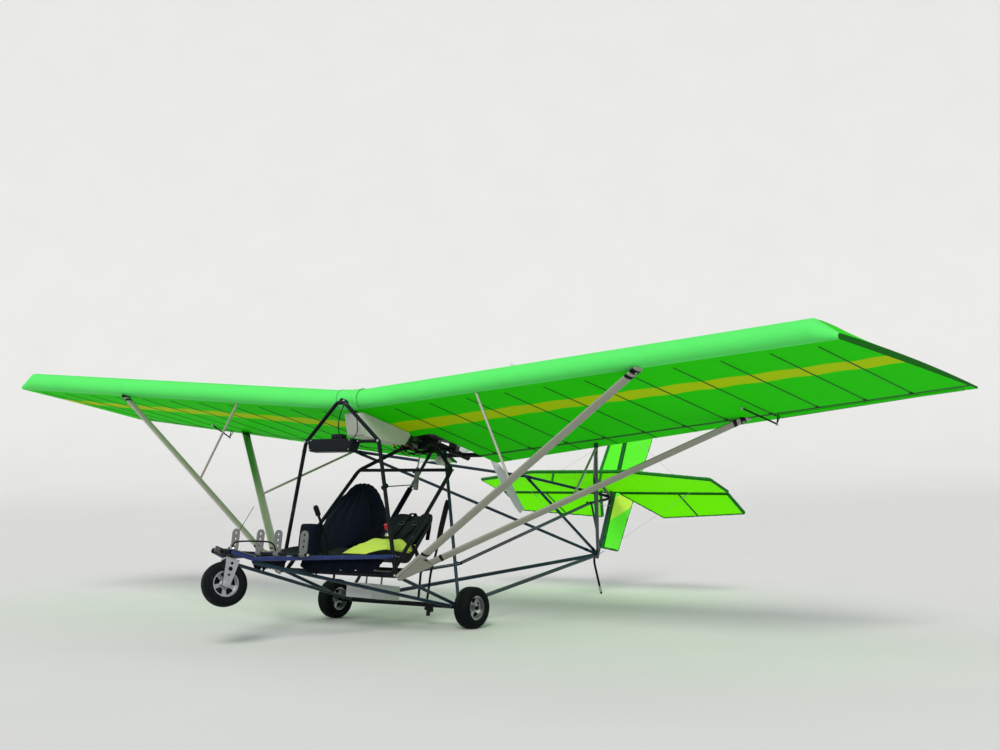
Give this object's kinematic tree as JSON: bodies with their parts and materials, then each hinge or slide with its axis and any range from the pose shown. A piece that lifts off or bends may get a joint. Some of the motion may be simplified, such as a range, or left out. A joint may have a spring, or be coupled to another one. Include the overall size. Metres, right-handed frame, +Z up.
{
  "type": "ultralight aircraft",
  "caption": "Side-by-side open-frame ultralight aircraft with a strut-braced fabric wing, a pusher propeller and a tube truss tail, parked on its main wheels and tail skid",
  "frame": {"origin": "bottom centre of the box of the parked aircraft", "axes": "X to the port wingtip, Y aft along the fuselage, Z up from the ground"},
  "size_m": [9.3058, 5.9836, 2.2499],
  "materials": {
    "blade_white": "gloss white composite",
    "cover_cloth": "dark cloth cover",
    "cushion_lime": "padded lime cloth",
    "engine_grey": "bead-blasted cast alloy",
    "exhaust_steel": "heat-stained sheet steel",
    "fabric_green": "tensioned sailcloth, bright green with a yellow stripe",
    "fabric_lime": "tensioned sailcloth, lime green",
    "frame_black": "satin black paint",
    "frame_blue": "gloss dark blue paint",
    "hub_alloy": "turned alloy",
    "pedal_alloy": "drilled sheet alloy",
    "pod_black": "textured black",
    "rim_silver": "cast, machined face",
    "seat_shell": "black moulded shell",
    "strut_silver": "satin anodised tube",
    "tank_white": "translucent white polyethylene",
    "tray_white": "white moulded tray",
    "tyre_black": "smooth black rubber"
  },
  "bodies": {
    "airframe": {"bearers": "frame_black", "belly_tray": "tray_white", "boom_fittings": "strut_silver", "centre_boom": "frame_black", "control_stick": "frame_black", "cross_bars": "frame_black", "engine_block": "engine_grey", "engine_cylinders": "engine_grey", "exhaust": "exhaust_steel", "fin": "fabric_lime", "front_arch": "frame_black", "fuel_tank": "tank_white", "instrument_pod": "pod_black", "jury_struts": "strut_silver", "keel_rails": "frame_blue", "lift_struts_front": "strut_silver", "lift_struts_rear": "strut_silver", "lower_booms": "frame_blue", "main_axle": "frame_blue", "nose_plate": "pedal_alloy", "pedals": "pedal_alloy", "rear_bow": "frame_black", "rear_legs": "frame_black", "root_tube": "frame_black", "seat_cover": "cover_cloth", "seat_cushions": "cushion_lime", "seats": "seat_shell", "side_rails": "frame_blue", "stabiliser": "fabric_lime", "strut_feet": "strut_silver", "tail_post": "frame_black", "tail_skid": "frame_black", "truss_diagonals": "frame_black", "upper_booms": "frame_black", "wing_port": "fabric_green", "wing_starboard": "fabric_green"},
    "nose_fork": {"nose_fork": "pedal_alloy"},
    "nose_wheel": {"tyre_nose": "tyre_black", "rim_nose": "rim_silver"},
    "port_wheel": {"tyre_port": "tyre_black", "rim_port": "rim_silver"},
    "starboard_wheel": {"tyre_starboard": "tyre_black", "rim_starboard": "rim_silver"},
    "propeller": {"propeller_hub": "hub_alloy", "propeller_blades": "blade_white"},
    "aileron_port": {"aileron_port": "fabric_green"},
    "aileron_starboard": {"aileron_starboard": "fabric_green"},
    "elevator": {"elevator": "fabric_lime"},
    "rudder": {"rudder": "fabric_lime"}
  },
  "joints": [
    {"name": "wheel_port", "type": "hinge", "parent": "airframe", "child": "port_wheel", "pos_m": [0.775, -0.90118, 0.1675], "axis": [1, 0, 0], "continuous": true},
    {"name": "wheel_starboard", "type": "hinge", "parent": "airframe", "child": "starboard_wheel", "pos_m": [-0.775, -0.90118, 0.1675], "axis": [1, 0, 0], "continuous": true},
    {"name": "steering", "type": "hinge", "parent": "airframe", "child": "nose_fork", "pos_m": [0, -2.82484, 0.47448], "axis": [0, 0.3452, 0.9385], "range_deg": [-7, 63]},
    {"name": "wheel_nose", "type": "hinge", "parent": "nose_fork", "child": "nose_wheel", "pos_m": [0, -2.82484, 0.47448], "axis": [0.8829, -0.4406, 0.162], "continuous": true},
    {"name": "propeller", "type": "hinge", "parent": "airframe", "child": "propeller", "pos_m": [0, 0.22151, 1.47896], "axis": [0, 0.9875, -0.1576], "continuous": true},
    {"name": "aileron_port", "type": "hinge", "parent": "airframe", "child": "aileron_port", "pos_m": [3.825, -0.0176, 1.75878], "axis": [0.9948, 0.0093, 0.1014], "range_deg": [-20, 20]},
    {"name": "aileron_starboard", "type": "hinge", "parent": "airframe", "child": "aileron_starboard", "pos_m": [-3.825, -0.0176, 1.75878], "axis": [-0.9948, 0.0093, 0.1014], "range_deg": [-20, 20]},
    {"name": "elevator", "type": "hinge", "parent": "airframe", "child": "elevator", "pos_m": [0, 2.16215, 0.99277], "axis": [1, 0, 0], "range_deg": [0, 46]},
    {"name": "rudder", "type": "hinge", "parent": "airframe", "child": "rudder", "pos_m": [0, 2.27614, 1.09285], "axis": [0, 0.3907, 0.9205], "range_deg": [-25, 25]}
  ],
  "couplings": [
    {"joint": "aileron_starboard", "follows": "aileron_port", "ratio": 1}
  ]
}
